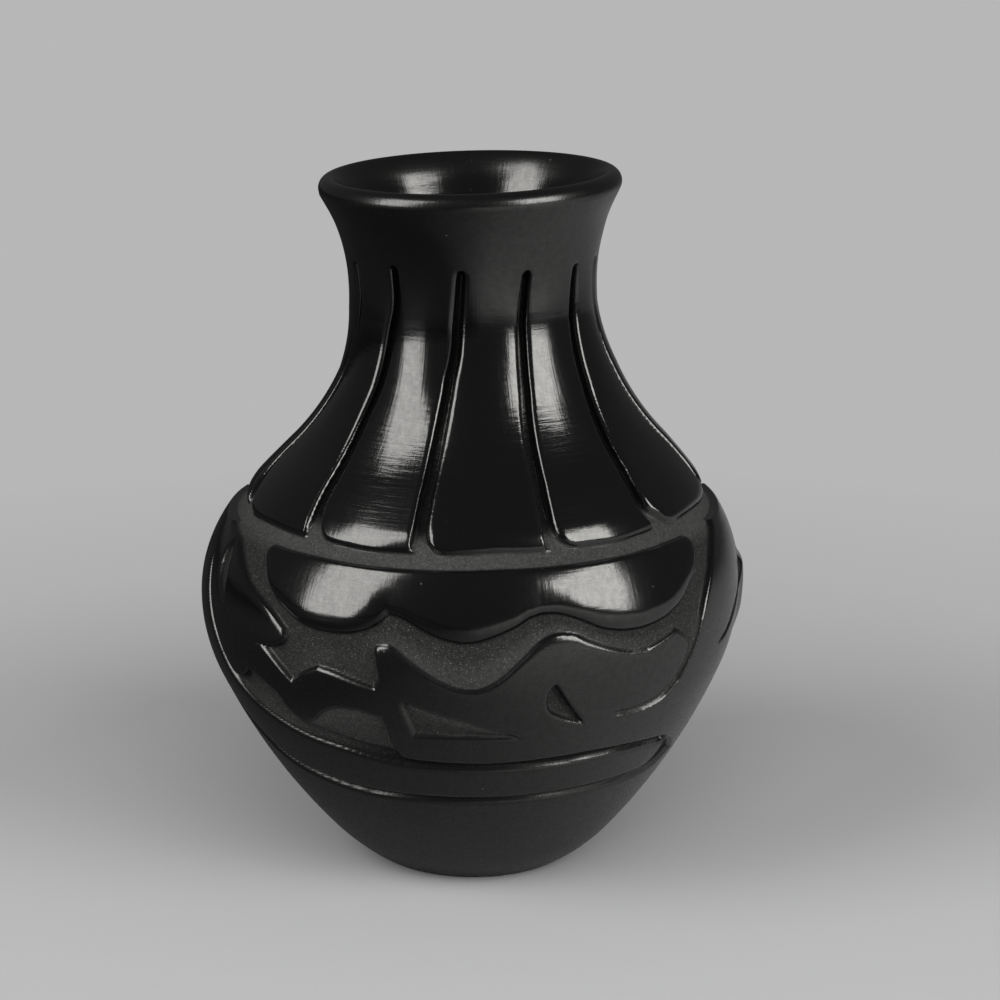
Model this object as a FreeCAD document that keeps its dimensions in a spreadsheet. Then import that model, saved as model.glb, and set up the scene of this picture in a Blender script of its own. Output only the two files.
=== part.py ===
import FreeCAD, Part
import math
import os
import Sketcher

# Coil-built pottery jar with a carved shoulder and belly.
# Millimetres and degrees. Z is up, the foot rests on Z = 0 and the jar's axis is the Z axis.
# Azimuth 0 is the front of the jar, at -Y, and grows towards +X.

VECTOR = FreeCAD.Vector
FLAT_POINT = FreeCAD.Base.Vector2d

# Driving sizes. Heights are stacked: each rise starts where the one before it ends.
SIZES = (
    ("foot_radius", 30.0),
    ("heel_spread", 14.2),
    ("belly_radius", 79.0),
    ("haunch_inset", 4.6),
    ("shoulder_inset", 9.2),
    ("neck_radius", 35.2),
    ("throat_spread", 6.0),
    ("lip_spread", 7.9),
    ("heel_rise", 12.0),
    ("haunch_rise", 48.0),
    ("belly_rise", 22.0),
    ("shoulder_rise", 26.0),
    ("slope_rise", 18.0),
    ("throat_rise", 18.0),
    ("neck_rise", 25.0),
    ("lip_rise", 34.0),
    ("lip_width", 6.6),
    ("body_wall", 7.0),
    ("neck_wall", 6.4),
    ("floor_thickness", 9.0),
    ("floor_radius", 27.0),
    ("carve_depth", 2.2),
    ("slot_depth", 3.0),
    ("cut_overrun", 4.0),
    ("slot_top_width", 3.0),
    ("slot_foot_width", 5.6),
    ("slot_corner", 3.0),
    ("ledge_width", 4.1),
)

# The slope station lies this far out from the throat towards the shoulder.
SLOPE_SHARE = 0.448

# Each scraping stroke follows a rounded stretch of the wall for about this turn.
STROKE_TURN = 9.0
LIP_STROKES = 5

# Where one course of clay ends and the next starts, as shares of the jar's height.
COURSES = (
    ("base_slab", 0.128),
    ("lower_wall_coil", 0.246),
    ("haunch_coil", 0.374),
    ("belly_coil", 0.493),
    ("shoulder_coil", 0.606),
    ("upper_shoulder_coil", 0.724),
    ("neck_coil", 0.852),
    ("rim_coil", 1.0),
)

# The matte ledge below the feathers and the top of the slots between them.
LEDGE_SHARE = 0.524
SLOT_TOP_SHARE = 0.884

# Azimuth of each slot between two feathers, at its top and at its foot, cut by eye.
SLOTS = (
    (-66.0, -71.0),
    (-37.0, -42.5),
    (-4.5, -12.5),
    (25.5, 19.5),
    (55.0, 50.0),
    (85.0, 80.0),
    (115.5, 110.5),
    (144.0, 138.5),
    (174.0, 169.0),
    (205.0, 200.0),
    (234.5, 229.0),
    (264.0, 259.0),
)

# Carved outlines of one motif, as stretches of (azimuth, height share). Two points are a straight
# cut, and more points are one smooth stroke. Each stretch starts where the one before it ends.
CLOUD_CHANNEL_SHARES = (
    ((-74.0, 0.534), (-64.5, 0.509), (-55.0, 0.470), (-46.0, 0.443), (-41.0, 0.419)),
    ((-41.0, 0.419), (-42.5, 0.402), (-47.5, 0.395)),
    ((-47.5, 0.395), (-39.1, 0.351)),
    ((-39.1, 0.351), (-36.0, 0.368), (-32.1, 0.383), (-26.5, 0.375), (-19.4, 0.362)),
    ((-19.4, 0.362), (-18.4, 0.424)),
    ((-18.4, 0.424), (-14.0, 0.415), (-6.5, 0.379), (1.0, 0.365), (7.5, 0.389), (15.7, 0.436),
     (22.0, 0.434), (30.0, 0.408), (38.4, 0.398), (46.3, 0.413)),
    ((46.3, 0.413), (50.0, 0.378), (47.0, 0.338), (40.0, 0.316), (32.7, 0.314)),
    ((32.7, 0.314), (32.7, 0.307)),
    ((32.7, 0.307), (43.0, 0.309), (51.0, 0.358), (56.5, 0.436), (64.0, 0.491), (73.0, 0.534)),
    ((73.0, 0.534), (58.5, 0.534)),
    ((58.5, 0.534), (57.4, 0.499), (49.4, 0.453), (36.5, 0.432), (26.0, 0.450), (16.0, 0.472)),
    ((16.0, 0.472), (8.7, 0.455), (-0.4, 0.435), (-9.5, 0.452), (-17.7, 0.473)),
    ((-17.7, 0.473), (-22.5, 0.447), (-31.0, 0.436), (-41.0, 0.451), (-49.0, 0.484), (-53.0, 0.534)),
    ((-53.0, 0.534), (-74.0, 0.534)),
)
UPPER_GROOVE_SHARES = (
    ((-64.0, 0.337), (-62.0, 0.362)),
    ((-62.0, 0.362), (-54.0, 0.352), (-47.0, 0.332), (-42.3, 0.300), (-38.5, 0.288)),
    ((-38.5, 0.288), (-30.0, 0.285), (-17.3, 0.272)),
    ((-17.3, 0.272), (-14.9, 0.253)),
    ((-14.9, 0.253), (2.0, 0.248), (20.4, 0.251), (38.0, 0.249), (53.0, 0.238)),
    ((53.0, 0.238), (53.6, 0.224)),
    ((53.6, 0.224), (38.0, 0.237), (11.3, 0.236), (-16.4, 0.241), (-31.0, 0.256),
     (-47.7, 0.274), (-58.0, 0.298), (-64.0, 0.337)),
)
LOWER_GROOVE_SHARES = (
    ((-83.0, 0.318), (-78.0, 0.330)),
    ((-78.0, 0.330), (-65.0, 0.248), (-52.0, 0.212), (-35.0, 0.194), (2.0, 0.189),
     (35.0, 0.190), (49.0, 0.198)),
    ((49.0, 0.198), (54.0, 0.236)),
    ((54.0, 0.236), (63.0, 0.214)),
    ((63.0, 0.214), (55.0, 0.183), (35.0, 0.177), (2.0, 0.177), (-35.0, 0.179),
     (-55.0, 0.190), (-70.0, 0.226), (-83.0, 0.318)),
)
LONG_RECESS_SHARES = (
    ((-13.8, 0.336), (-11.7, 0.293)),
    ((-11.7, 0.293), (10.8, 0.290)),
    ((10.8, 0.290), (-1.2, 0.322), (-13.8, 0.336)),
)
SMALL_RECESS_SHARES = (
    ((17.3, 0.371), (15.9, 0.352), (16.2, 0.329)),
    ((16.2, 0.329), (24.3, 0.303)),
    ((24.3, 0.303), (17.3, 0.371)),
)
MOTIF_SHARES = (
    CLOUD_CHANNEL_SHARES,
    UPPER_GROOVE_SHARES,
    LOWER_GROOVE_SHARES,
    LONG_RECESS_SHARES,
    SMALL_RECESS_SHARES,
)

# The motif is carved on the front and again on the back.
MOTIF_TURNS = (0.0, 180.0)

RISES = (
    "heel_rise", "haunch_rise", "belly_rise", "shoulder_rise",
    "slope_rise", "throat_rise", "neck_rise", "lip_rise",
)


def make_sheet(document):
    sheet = document.addObject("Spreadsheet::Sheet", "Sizes")
    for row, (name, value) in enumerate(SIZES, start=1):
        sheet.set("A%d" % row, name)
        sheet.set("B%d" % row, str(value))
        sheet.setAlias("B%d" % row, name)
    document.recompute()
    return sheet


def stacked_rises(count):
    """Expression for the height at the top of the first rises."""
    return " + ".join("Sizes." + name for name in RISES[:count])


def station_table():
    """Each station of the outline: its name, radius and height, as expressions on the sizes."""
    shoulder = "(Sizes.belly_radius - Sizes.shoulder_inset)"
    throat = "(Sizes.neck_radius + Sizes.throat_spread)"
    slope = "%s + %s * (%s - %s)" % (throat, SLOPE_SHARE, shoulder, throat)
    lip_height = stacked_rises(len(RISES)) + " - Sizes.lip_width / 2"
    return (
        ("foot", "Sizes.foot_radius", None),
        ("heel", "Sizes.foot_radius + Sizes.heel_spread", stacked_rises(1)),
        ("haunch", "Sizes.belly_radius - Sizes.haunch_inset", stacked_rises(2)),
        ("belly", "Sizes.belly_radius", stacked_rises(3)),
        ("shoulder", shoulder, stacked_rises(4)),
        ("slope", slope, stacked_rises(5)),
        ("throat", throat, stacked_rises(6)),
        ("neck", "Sizes.neck_radius", stacked_rises(7)),
        ("lip", "Sizes.neck_radius + Sizes.lip_spread", lip_height),
    )


def station_points(sheet):
    """The stations' radius and height in numbers, from the same sizes."""
    value = {name: sheet.get(name) for name, _ in SIZES}
    heights = [0.0]
    for name in RISES:
        heights.append(heights[-1] + value[name])
    shoulder = value["belly_radius"] - value["shoulder_inset"]
    throat = value["neck_radius"] + value["throat_spread"]
    radii = (
        value["foot_radius"],
        value["foot_radius"] + value["heel_spread"],
        value["belly_radius"] - value["haunch_inset"],
        value["belly_radius"],
        shoulder,
        throat + SLOPE_SHARE * (shoulder - throat),
        throat,
        value["neck_radius"],
        value["neck_radius"] + value["lip_spread"],
    )
    heights[-1] -= value["lip_width"] / 2
    return [VECTOR(radius, height, 0) for radius, height in zip(radii, heights)]


def arc_along(start, end, direction):
    """Centre of the arc that leaves start along direction and reaches end, and its last direction."""
    chord = end - start
    side = VECTOR(-direction.y, direction.x, 0)
    centre = start + side * (chord.Length ** 2 / (2 * side.dot(chord)))
    along = VECTOR(chord).normalize()
    last = along * (2 * direction.dot(along)) - direction
    return centre, last


def outline_arcs(points):
    """The outline's arcs from foot to lip, as (lower point, upper point, centre)."""
    foot, heel, haunch, belly, shoulder, slope, throat, neck, lip = points
    up = VECTOR(0, 1, 0)
    down = VECTOR(0, -1, 0)
    arcs = []
    direction = down
    for upper, lower in ((belly, haunch), (haunch, heel), (heel, foot)):
        centre, direction = arc_along(upper, lower, direction)
        arcs.insert(0, (lower, upper, centre))
    direction = up
    for lower, upper in ((belly, shoulder), (shoulder, slope), (slope, throat)):
        centre, direction = arc_along(lower, upper, direction)
        arcs.append((lower, upper, centre))
    centre, _ = arc_along(neck, throat, down)
    arcs.append((throat, neck, centre))
    centre, _ = arc_along(neck, lip, up)
    arcs.append((neck, lip, centre))
    return arcs


def turns_left(lower, upper, centre):
    """True where the arc from lower to upper runs anticlockwise about its centre."""
    return (lower - centre).cross(upper - centre).z > 0


def draw_outline(document, sheet):
    """Sketch of the jar's outer outline: tangent arcs through the stations, bound to the sizes."""
    sketch = document.addObject("Sketcher::SketchObject", "OuterOutline")
    sketch.Placement = FreeCAD.Placement(VECTOR(), FreeCAD.Rotation(VECTOR(1, 0, 0), 90))
    ends = []
    for lower, upper, centre in outline_arcs(station_points(sheet)):
        left = turns_left(lower, upper, centre)
        first, last = (lower, upper) if left else (upper, lower)
        start_angle = math.atan2(first.y - centre.y, first.x - centre.x)
        end_angle = math.atan2(last.y - centre.y, last.x - centre.x)
        circle = Part.Circle(centre, VECTOR(0, 0, 1), (first - centre).Length)
        arc = sketch.addGeometry(Part.ArcOfCircle(circle, start_angle, end_angle))
        ends.append((arc, 1, 2) if left else (arc, 2, 1))

    stations = station_table()
    for index, (name, radius, height) in enumerate(stations):
        arc, lower_end, upper_end = ends[min(index, len(ends) - 1)]
        end = lower_end if index < len(ends) else upper_end
        point = sketch.getPoint(arc, end)
        across = sketch.addConstraint(Sketcher.Constraint("DistanceX", -1, 1, arc, end, point.x))
        sketch.renameConstraint(across, name + "_across")
        sketch.setExpression("Constraints." + name + "_across", radius)
        if height is None:
            sketch.addConstraint(Sketcher.Constraint("PointOnObject", arc, end, -1))
        else:
            rise = sketch.addConstraint(Sketcher.Constraint("DistanceY", -1, 1, arc, end, point.y))
            sketch.renameConstraint(rise, name + "_up")
            sketch.setExpression("Constraints." + name + "_up", height)

    level = ("belly", "neck")
    loose = ("throat",)
    for index in range(1, len(ends)):
        name = stations[index][0]
        below, _, below_end = ends[index - 1]
        above, above_end, _ = ends[index]
        if name in level or name in loose:
            sketch.addConstraint(Sketcher.Constraint("Coincident", below, below_end, above, above_end))
        else:
            sketch.addConstraint(Sketcher.Constraint("Tangent", below, below_end, above, above_end))
        if name in level:
            sketch.addConstraint(Sketcher.Constraint("Horizontal", below, 3, below, below_end))
            sketch.addConstraint(Sketcher.Constraint("Horizontal", above, 3, above, above_end))
    document.recompute()
    return sketch, ends


def stroke_points(sketch, ends):
    """Points along the sketched outline from foot to lip, each with its outward normal."""
    points = []
    for arc, lower_end, upper_end in ends:
        lower = sketch.getPoint(arc, lower_end)
        upper = sketch.getPoint(arc, upper_end)
        centre = sketch.getPoint(arc, 3)
        left = turns_left(lower, upper, centre)
        outward = 1 if left else -1
        spoke = lower - centre
        turn = math.degrees(spoke.getAngle(upper - centre)) * outward
        count = max(1, math.ceil(abs(turn) / STROKE_TURN))
        first = 1 if points else 0
        for step in range(first, count + 1):
            turned = FreeCAD.Rotation(VECTOR(0, 0, 1), turn * step / count).multVec(spoke)
            normal = VECTOR(turned).normalize() * outward
            points.append((centre + turned, normal))
    return points


def moved(points, distance):
    """The outline moved outwards along its normals, or inwards where distance is negative."""
    return [point + normal * distance for point, normal in points]


def standing(points):
    """Flat outline points, as (radius, height), stood up on the XZ plane."""
    return [VECTOR(point.x, 0, point.y) for point in points]


def ring_solid(points):
    """Solid turned from a closed outline of (radius, height) points."""
    corners = standing(points)
    face = Part.Face(Part.makePolygon(corners + [corners[0]]))
    return face.revolve(VECTOR(), VECTOR(0, 0, 1), 360)


def inner_outline(sheet, outline, height):
    """The jar's inside from the lip down to the floor, one wall's thickness from the outside."""
    throat_height = sum(sheet.get(name) for name in RISES[:6])
    belly_height = sum(sheet.get(name) for name in RISES[:3])
    lip_floor = height - sheet.get("lip_width") * 2
    floor = sheet.get("floor_thickness")
    floor_radius = sheet.get("floor_radius")
    inside = []
    for point, normal in outline:
        wall = sheet.get("neck_wall") if point.y > throat_height else sheet.get("body_wall")
        inner = point - normal * wall
        beside_floor = inner.x > floor_radius or inner.y > belly_height
        if floor < inner.y < lip_floor and beside_floor:
            inside.append(inner)
    inside.reverse()
    return inside + [VECTOR(floor_radius, floor, 0), VECTOR(0, floor, 0)]


def lip_outline(sheet, height):
    """The rounded lip from its outer side over the top to its inner side."""
    half = sheet.get("lip_width") / 2
    centre = VECTOR(sheet.get("neck_radius") + sheet.get("lip_spread") - half, height - half, 0)
    points = []
    for step in range(1, LIP_STROKES + 1):
        angle = math.pi * step / LIP_STROKES
        points.append(centre + VECTOR(math.cos(angle), math.sin(angle), 0) * half)
    return points


def cut_edge(surface, points, unrolled_radius):
    """One edge of a carved outline, laid on a cylinder about the jar's axis.

    A smooth stroke is drawn on the wall unrolled at a radius, and then turned back to an angle."""
    if len(points) == 2:
        flat = [FLAT_POINT(*point) for point in points]
        return Part.Geom2d.Line2dSegment(*flat).toShape(surface)
    stroke = Part.Geom2d.BSplineCurve2d()
    stroke.interpolate([FLAT_POINT(angle * unrolled_radius, level) for angle, level in points])
    poles = [FLAT_POINT(pole.x / unrolled_radius, pole.y) for pole in stroke.getPoles()]
    curve = Part.Geom2d.BSplineCurve2d()
    curve.buildFromPolesMultsKnots(
        poles, stroke.getMultiplicities(), stroke.getKnots(), False, stroke.Degree)
    return curve.toShape(surface)


def radial_cutter(stretches, inner_radius, outer_radius):
    """Solid between two cylinders whose sides point at the jar's axis."""
    wires = []
    faces = []
    for radius in (inner_radius, outer_radius):
        cylinder = Part.Cylinder()
        cylinder.Radius = radius
        wire = Part.Wire([cut_edge(cylinder, stretch, outer_radius) for stretch in stretches])
        face = Part.Face(cylinder, wire)
        face.validate()
        wires.append(wire)
        faces.append(face)
    faces += Part.makeLoft(wires, False, True).Faces
    shell = Part.Compound(faces)
    shell.sewShape()
    solid = Part.makeSolid(shell.Shells[0])
    if solid.Volume < 0:
        solid.reverse()
    return solid


def motif_stretches(shares, height, turn):
    """Carved outline in polar angle and height, with azimuth 0 at the front."""
    return [
        [(math.radians(azimuth + turn - 90), share * height) for azimuth, share in stretch]
        for stretch in shares
    ]


def slot_stretches(sheet, height, top, foot, top_radius, foot_radius):
    """Slot between two feathers, with rounded corners where it opens on the ledge."""
    ledge_top = LEDGE_SHARE * height + sheet.get("ledge_width")
    corner = sheet.get("slot_corner")
    top_half = math.degrees(sheet.get("slot_top_width") / (2 * top_radius))
    foot_half = math.degrees(sheet.get("slot_foot_width") / (2 * foot_radius))
    corner_turn = math.degrees(corner / foot_radius)
    below = ledge_top - sheet.get("ledge_width") / 2
    high = ledge_top + corner
    head = SLOT_TOP_SHARE * height
    outline = (
        ((top - top_half, head), (foot - foot_half, high)),
        ((foot - foot_half, high), (foot - foot_half - corner_turn / 3, ledge_top + corner / 3),
         (foot - foot_half - corner_turn, ledge_top)),
        ((foot - foot_half - corner_turn, ledge_top), (foot - foot_half - corner_turn, below)),
        ((foot - foot_half - corner_turn, below), (foot + foot_half + corner_turn, below)),
        ((foot + foot_half + corner_turn, below), (foot + foot_half + corner_turn, ledge_top)),
        ((foot + foot_half + corner_turn, ledge_top),
         (foot + foot_half + corner_turn / 3, ledge_top + corner / 3), (foot + foot_half, high)),
        ((foot + foot_half, high), (top + top_half, head)),
        ((top + top_half, head), (top - top_half, head)),
    )
    return [
        [(math.radians(azimuth - 90), level) for azimuth, level in stretch] for stretch in outline
    ]


def wall_skin(sheet, band, depth):
    """The wall's outer skin down to a depth, with room outside it for the cutters."""
    outside = moved(band, sheet.get("cut_overrun"))
    return ring_solid(moved(band, -depth) + outside[::-1])


def carving(sheet, outline, height):
    """All that is carved out of the wall, as solids cut to their depth."""
    band = [
        (point, normal) for point, normal in outline
        if sheet.get("heel_rise") <= point.y < height - sheet.get("lip_width")
    ]
    skin = wall_skin(sheet, band, sheet.get("carve_depth"))
    slot_skin = wall_skin(sheet, band, sheet.get("slot_depth"))
    reach = sheet.get("belly_radius") + 2 * sheet.get("cut_overrun")
    core = sheet.get("neck_radius") / 2
    ledge_low = LEDGE_SHARE * height
    ledge = Part.makeCylinder(reach, sheet.get("ledge_width"), VECTOR(0, 0, ledge_low))
    cutters = [ledge.common(skin)]
    for top, foot in SLOTS:
        stretches = slot_stretches(
            sheet, height, top, foot, sheet.get("neck_radius"),
            sheet.get("belly_radius") - sheet.get("shoulder_inset"))
        cutters.append(radial_cutter(stretches, core, reach).common(slot_skin))
    for turn in MOTIF_TURNS:
        for shares in MOTIF_SHARES:
            stretches = motif_stretches(shares, height, turn)
            cutters.append(radial_cutter(stretches, core, reach).common(skin))
    return cutters


def add_solid(document, name, shape):
    feature = document.addObject("Part::Feature", name)
    feature.Shape = shape
    return feature


def add_wall(document, sheet, outline, height):
    """The whole wall, carved: a turned body less the carving."""
    section = [VECTOR(0, 0, 0)] + moved(outline, 0) + lip_outline(sheet, height)
    corners = standing(section + inner_outline(sheet, outline, height))
    face = Part.Face(Part.makePolygon(corners + [corners[0]]))
    profile = add_solid(document, "WallSection", face)
    wall = document.addObject("Part::Revolution", "TurnedWall")
    wall.Source = profile
    wall.Axis = VECTOR(0, 0, 1)
    wall.Angle = 360
    wall.Solid = True
    relief = add_solid(document, "Carving", Part.Compound(carving(sheet, outline, height)))
    carved = document.addObject("Part::Cut", "CarvedWall")
    carved.Base = wall
    carved.Tool = relief
    return carved


def add_courses(document, carved):
    """Each course of clay: the carved wall between two level seams."""
    total = stacked_rises(len(RISES))
    nodes = []
    start = 0.0
    for name, end in COURSES:
        band = document.addObject("Part::Cylinder", name + "_band")
        band.setExpression("Radius", "Sizes.belly_radius + Sizes.cut_overrun")
        band.setExpression("Height", "%s * (%s)" % (end - start, total))
        band.setExpression("Placement.Base.z", "%s * (%s)" % (start, total))
        course = document.addObject("Part::Common", name)
        course.Base = carved
        course.Tool = band
        course.Label = name
        nodes.append(course)
        start = end
    document.recompute()
    return nodes


def check_objects(document, nodes):
    for item in document.Objects:
        if "Invalid" in item.State or "Error" in item.State:
            raise RuntimeError("%s did not rebuild: %s" % (item.Label, item.State))
    for node in nodes:
        if node.Shape.isNull() or not node.Shape.isValid():
            raise RuntimeError("%s has no valid shape" % node.Label)
        if len(node.Shape.Solids) != 1:
            raise RuntimeError("%s has %d solids" % (node.Label, len(node.Shape.Solids)))


def main():
    document = FreeCAD.newDocument("PotteryJar")
    sheet = make_sheet(document)
    sketch, ends = draw_outline(document, sheet)
    outline = stroke_points(sketch, ends)
    height = sum(sheet.get(name) for name in RISES)
    carved = add_wall(document, sheet, outline, height)
    nodes = add_courses(document, carved)
    check_objects(document, nodes)
    os.makedirs("parts", exist_ok=True)
    volume = 0.0
    for node in nodes:
        node.Shape.exportStep("parts/%s.step" % node.Label)
        volume += node.Shape.Volume
        print("%s: %.0f cubic mm, %d faces" % (node.Label, node.Shape.Volume, len(node.Shape.Faces)))
    print("height %.1f mm, clay %.0f cubic mm" % (height, volume))


main()
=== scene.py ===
import math

import bpy
import numpy as np
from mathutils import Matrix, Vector


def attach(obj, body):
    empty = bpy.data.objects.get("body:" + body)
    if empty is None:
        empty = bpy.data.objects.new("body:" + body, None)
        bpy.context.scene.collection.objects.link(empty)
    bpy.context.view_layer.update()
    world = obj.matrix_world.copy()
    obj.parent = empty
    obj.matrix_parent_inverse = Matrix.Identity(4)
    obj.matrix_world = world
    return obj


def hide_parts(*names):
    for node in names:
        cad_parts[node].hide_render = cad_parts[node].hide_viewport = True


bl_info = {
    "name": "Carved Pottery Jar",
    "version": (1, 0, 0),
    "blender": (4, 5, 0),
    "location": "3D View > Sidebar > Pottery",
    "description": "Models a coil-built jar with a carved shoulder and belly",
    "category": "Object",
}

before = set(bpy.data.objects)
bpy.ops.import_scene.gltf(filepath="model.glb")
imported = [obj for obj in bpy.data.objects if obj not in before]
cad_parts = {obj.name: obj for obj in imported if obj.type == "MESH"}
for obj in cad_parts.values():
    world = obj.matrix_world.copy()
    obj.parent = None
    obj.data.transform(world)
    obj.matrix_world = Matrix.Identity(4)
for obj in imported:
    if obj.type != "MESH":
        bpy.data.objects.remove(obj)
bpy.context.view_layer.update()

MM = 0.001

# The jar's outer outline: radius and height of each station, in millimetres, from foot to lip.
# The arcs between them run on smoothly from one to the next.
STATIONS = (
    (30.0, 0.0), (44.2, 12.0), (74.4, 60.0), (79.0, 82.0), (69.8, 108.0),
    (53.987, 126.0), (41.2, 144.0), (35.2, 169.0), (43.1, 199.7),
)
BELLY_STATION = 3
NECK_STATION = 7
HEIGHT = 203.0
# The lip's round: its radius and steps, the angle in degrees and the height at which it ends on the
# inside, and the power of its inner curve. The inside's line starts some lip radii below the top,
# and the outline swells over its last stretch to meet the round.
LIP_RADIUS = 3.3
LIP_STEPS = 20
LIP_END = 165.0
LIP_INSIDE = 195.7
LIP_INSIDE_POWER = 1.5
LIP_CLEARANCE = 4.5
LIP_SWELL = 9.0
ARC_STEP = 0.1
# Inside: the floor, and the wall, which thins towards the neck over twice the blend. Only above the
# belly may it be narrower than the floor.
FLOOR_RADIUS = 27.0
FLOOR_HEIGHT = 9.0
BODY_WALL = 7.0
NECK_WALL = 6.4
THROAT_BLEND = 8.0
BELLY_TOP = 100.0
# Rings of the flat floor and of the foot's underside, as shares of their radii.
FLOOR_RINGS = (0.66, 0.33, 0.0)
FOOT_RINGS = (0.0, 0.4, 0.8)

# Each course of clay: where it starts and ends, as shares of the jar's height, and the distance
# between two rows of its outer wall in millimetres.
COURSES = {
    "base_slab": (0.0, 0.128, 0.9),
    "lower_wall_coil": (0.128, 0.246, 0.46),
    "haunch_coil": (0.246, 0.374, 0.42),
    "belly_coil": (0.374, 0.493, 0.42),
    "shoulder_coil": (0.493, 0.606, 0.44),
    "upper_shoulder_coil": (0.606, 0.724, 0.46),
    "neck_coil": (0.724, 0.852, 0.44),
    "rim_coil": (0.852, 1.0, 0.6),
}
COLUMNS = 1152
INNER_STEP = 4.0
MOUTH_STEP = 1.2
# Marks of a section's points that lie on no row of the outer wall.
INSIDE = -1
ON_LIP = -2

# Azimuths are in degrees, 0 at the front and growing to the jar's right as seen from there.
# Each slot between two feathers runs through these points of azimuth and height.
SLOT_PATHS = (
    ((-66.0, 179.0), (-66.5, 167.4), (-74.0, 150.9), (-80.5, 134.6), (-83.5, 122.8),
        (-78.5, 111.8)),
    ((-37.3, 180.0), (-37.9, 169.7), (-42.2, 158.7), (-46.3, 140.3), (-45.4, 123.5), (-43.6, 114.5),
        (-43.4, 112.0)),
    ((-5.0, 179.3), (-8.2, 160.2), (-12.6, 147.4), (-14.4, 128.8), (-13.9, 115.6), (-13.9, 112.0)),
    ((24.8, 178.5), (22.2, 161.6), (18.7, 141.3), (17.8, 125.3), (18.1, 115.6), (18.2, 112.0)),
    ((53.9, 178.2), (53.3, 168.1), (49.5, 143.9), (47.9, 129.7), (47.5, 117.1), (49.5, 112.0)),
    ((75.0, 178.0), (78.6, 158.7), (80.8, 142.3), (85.8, 120.6), (84.8, 110.9)),
)
# Each slot at the back goes from one azimuth at its head to another at its foot, bent by shares.
BACK_SLOTS = (
    (115.5, 110.5), (144.0, 139.0), (174.0, 169.5), (205.0, 200.5), (234.0, 229.5), (264.0, 258.5))
SLOT_HEAD = 179.0
SLOT_FOOT = 112.0
SLOT_HALF_TOP = 1.3
SLOT_HALF_FOOT = 2.0
SLOT_STEP = 2.0
SLOT_REACH = 9.0
BACK_BENDS = (1.0, 0.75, 0.42, 0.18, 0.0)
BACK_HEIGHTS = (SLOT_HEAD, 163.0, 146.0, 128.0, SLOT_FOOT)
# The slots deepen from a little above the ledge, over a distance, and across them from near their
# edge over a width. Their ground is a little less matte than the ledge's.
DEEPENS_FROM = 1.0
DEEPENS_OVER = 9.0
DEEP_SHARE = 0.6
DEEP_WIDTH = 1.4
SLOT_SHEEN = 0.3

LEDGE_LOW = 106.4
LEDGE_HIGH = 110.9
LEDGE_RISE = 0.9
# Waves of the ledge's upper edge: height, turns round the jar and offset in degrees. The lower edge
# has a share of them. A slot's foot counts down to SLOT_BELOW under the upper edge.
LEDGE_WAVES = ((0.25, 7, 40), (0.15, 17, 0))
LOW_WAVE_SHARE = 0.4
SLOT_BELOW = 4.0

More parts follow.
